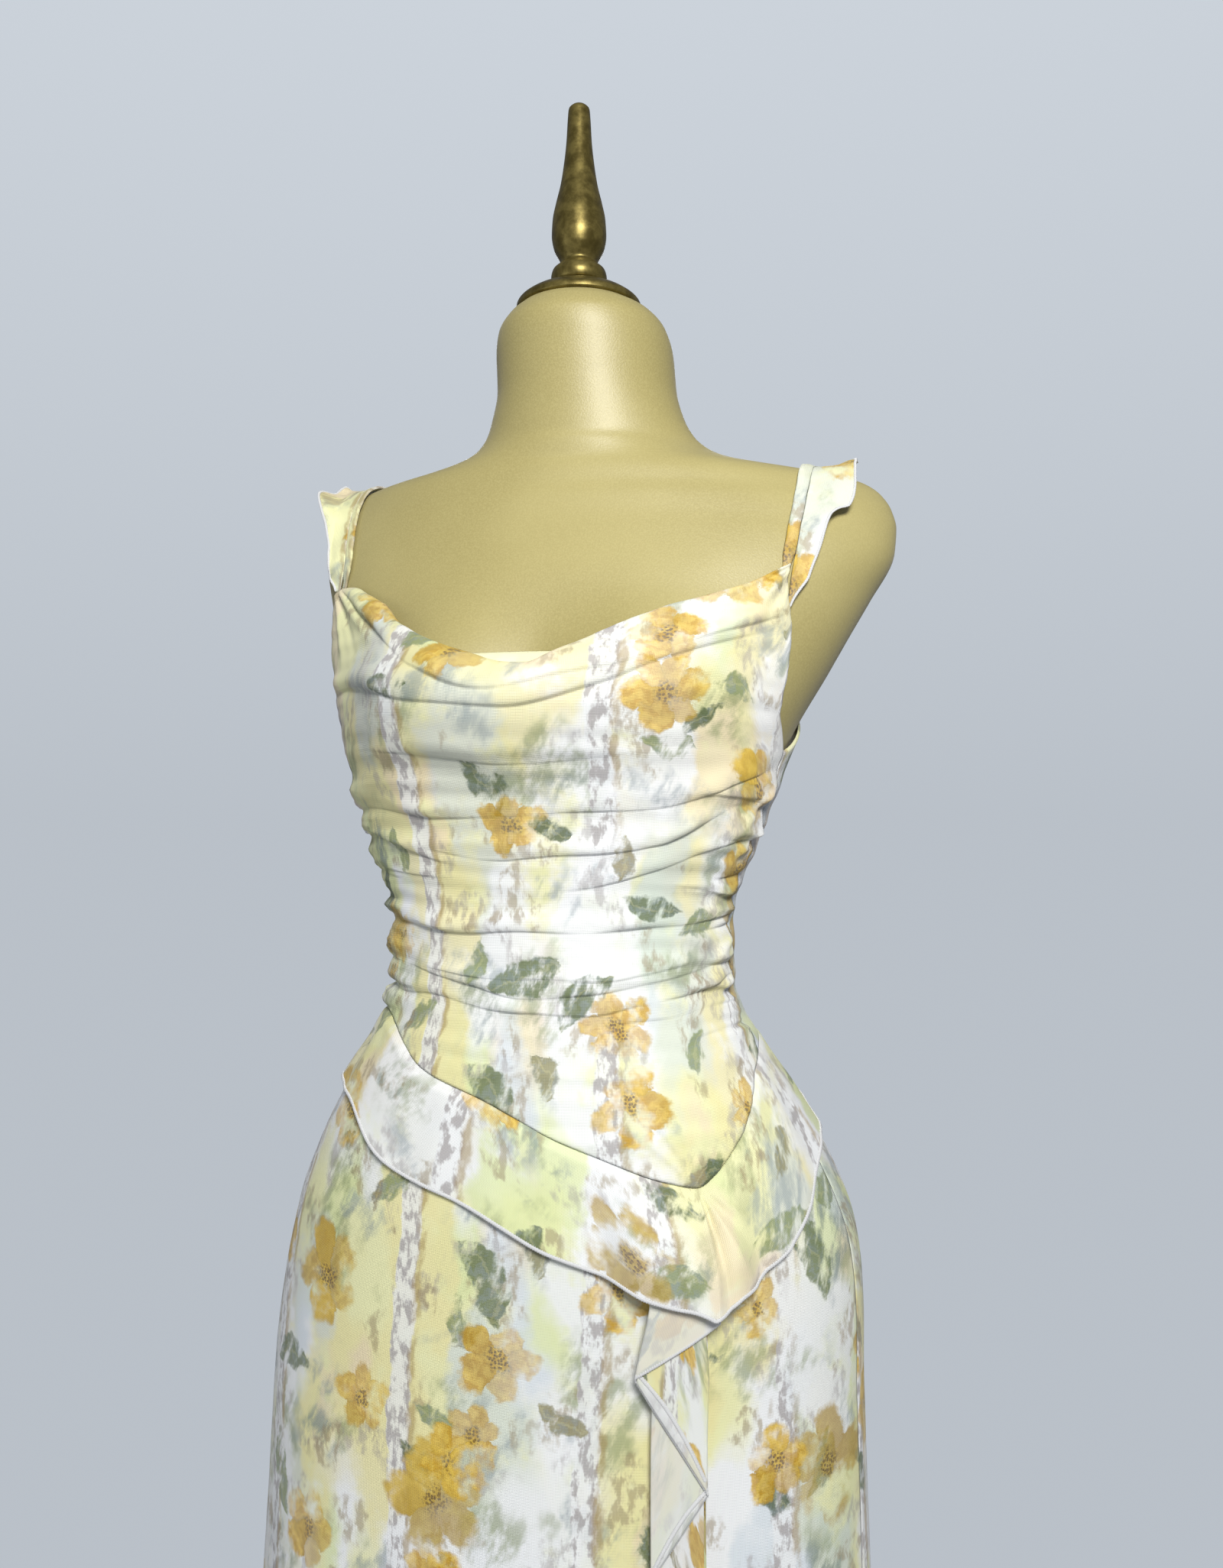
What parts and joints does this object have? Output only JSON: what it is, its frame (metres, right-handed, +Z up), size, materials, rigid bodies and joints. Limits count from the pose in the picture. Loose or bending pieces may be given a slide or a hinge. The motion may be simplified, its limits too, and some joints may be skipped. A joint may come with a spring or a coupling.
{
  "type": "floral dress on a limbless dress form",
  "caption": "Sleeveless stretch-mesh dress with cowl neck, ruched bodice, fluttered straps, hip flounce and cascade ruffle, on a limbless dress form with finial and round stand.",
  "frame": {"origin": "centre of the round foot's underside, on the pole's axis", "axes": "+Z up the pole, the dress faces -Y, +X is the wearer's left"},
  "size_m": [0.4511, 0.334, 1.6436],
  "materials": {
    "printed_mesh": "matte",
    "ruffle_mesh": "matte",
    "lining": "matte",
    "jersey": "satin",
    "brass": "aged",
    "stand_paint": "satin"
  },
  "bodies": {
    "root": {"form_torso": "jersey", "neck_cap": "brass", "finial": "brass", "stand_collar": "stand_paint", "stand_pole": "stand_paint", "stand_foot": "stand_paint", "bodice_front": "printed_mesh", "bodice_back": "printed_mesh", "neck_facing": "lining", "strap_left": "printed_mesh", "strap_right": "printed_mesh", "flutter_left": "printed_mesh", "flutter_right": "printed_mesh", "skirt_front": "printed_mesh", "skirt_back": "printed_mesh", "hip_flounce": "printed_mesh", "cascade_ruffle": "ruffle_mesh"}
  },
  "joints": []
}
